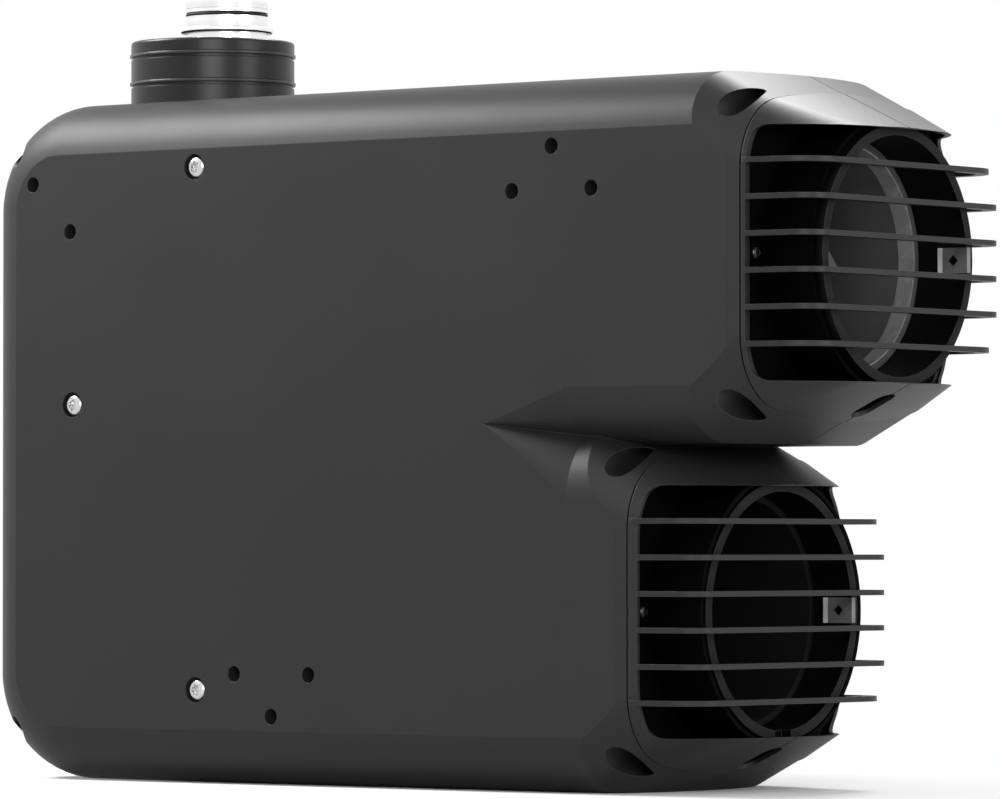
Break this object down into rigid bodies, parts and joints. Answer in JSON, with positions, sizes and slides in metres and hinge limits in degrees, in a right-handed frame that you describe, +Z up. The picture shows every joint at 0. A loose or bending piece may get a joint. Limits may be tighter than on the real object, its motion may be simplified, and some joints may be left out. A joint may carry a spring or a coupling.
{
  "type": "caravan gas heater",
  "caption": "Boxy dark blown-air gas heater with two stepped louvred air openings at one end and a combined air and exhaust flue collar on top.",
  "frame": {"origin": "middle of the part's length and depth, at the level of the flat base it stands on", "axes": "+X along the casing towards the two air openings, +Y from the front face with the mounting holes to the rear, +Z up towards the flue collar"},
  "size_m": [0.5466, 0.17, 0.399],
  "materials": {
    "case_plastic": "fine textured anthracite",
    "collar_plastic": "satin black",
    "inner_plastic": "satin dark grey",
    "fan_plastic": "satin dark grey",
    "rubber": "matt black",
    "gasket": "matt grey",
    "stainless": "brushed",
    "zinc_steel": "zinc plated",
    "cast_aluminium": "as cast",
    "brass": "machined",
    "ceramic": "glazed",
    "circuit_board": "solder mask",
    "component": "moulded",
    "connector": "moulded",
    "coil": "moulded"
  },
  "bodies": {
    "casing": {"front_shell": "case_plastic", "rear_shell": "case_plastic", "intake_port": "inner_plastic", "outlet_port": "inner_plastic", "intake_collar": "inner_plastic", "outlet_collar": "inner_plastic", "intake_clip": "zinc_steel", "outlet_clip": "zinc_steel", "port_screws": "zinc_steel", "outlet_duct": "inner_plastic", "circulation_housing": "inner_plastic", "circulation_motor": "zinc_steel", "circulation_bearings": "zinc_steel", "nozzle_ring": "zinc_steel", "combustion_air_collar": "collar_plastic", "collar_seals": "rubber", "exhaust_pipe": "stainless", "exhaust_seal": "rubber", "exhaust_gasket": "gasket", "air_plenum": "inner_plastic", "air_duct": "inner_plastic", "blower_housing": "cast_aluminium", "blower_cover": "cast_aluminium", "blower_motor": "zinc_steel", "blower_bearings": "zinc_steel", "burner_bulkhead": "zinc_steel", "bulkhead_gasket": "gasket", "exchanger_screws": "zinc_steel", "burner_tube": "stainless", "flame_tube": "stainless", "heat_exchanger": "cast_aluminium", "ignition_electrode": "ceramic", "flame_electrode": "ceramic", "overheat_thermostat": "ceramic", "air_sensor": "component", "front_chassis": "zinc_steel", "front_screws": "zinc_steel", "corner_screws": "zinc_steel", "gas_valve": "cast_aluminium", "valve_coils": "coil", "safety_spring": "stainless", "main_spring": "stainless", "gas_inlet_pipe": "zinc_steel", "gas_feed_pipe": "zinc_steel", "gas_nozzle": "brass", "gas_grommet": "rubber", "cable_grommet": "rubber", "control_board": "circuit_board", "board_parts": "component", "board_connectors": "connector", "electronics_cover": "inner_plastic", "board_screws": "zinc_steel"},
    "circulation_rotor": {"circulation_impeller": "fan_plastic", "circulation_shaft": "zinc_steel"},
    "blower_rotor": {"blower_impeller": "fan_plastic", "blower_shaft": "zinc_steel"},
    "safety_valve_plunger": {"safety_plunger": "zinc_steel"},
    "main_valve_plunger": {"main_plunger": "zinc_steel"},
    "intake_grille": {"intake_grille": "case_plastic"},
    "outlet_grille": {"outlet_grille": "case_plastic"}
  },
  "joints": [
    {"name": "circulation_spin", "type": "hinge", "parent": "casing", "child": "circulation_rotor", "pos_m": [0.17375, 0, 0.2569], "axis": [1, 0, 0], "continuous": true},
    {"name": "blower_spin", "type": "hinge", "parent": "casing", "child": "blower_rotor", "pos_m": [-0.21125, 0, 0.0875], "axis": [1, 0, 0], "continuous": true},
    {"name": "safety_valve_lift", "type": "slide", "parent": "casing", "child": "safety_valve_plunger", "axis": [0, 0, 1], "range_m": [0, 0.002], "stiffness_N_per_m": 400, "springref_m": -0.004, "deforming": ["safety_spring"]},
    {"name": "main_valve_lift", "type": "slide", "parent": "casing", "child": "main_valve_plunger", "axis": [0, 0, 1], "range_m": [0, 0.002], "stiffness_N_per_m": 400, "springref_m": -0.004, "deforming": ["main_spring"]},
    {"name": "intake_grille_off", "type": "slide", "parent": "casing", "child": "intake_grille", "axis": [1, 0, 0], "range_m": [0, 0.16]},
    {"name": "outlet_grille_off", "type": "slide", "parent": "casing", "child": "outlet_grille", "axis": [1, 0, 0], "range_m": [0, 0.16]}
  ]
}
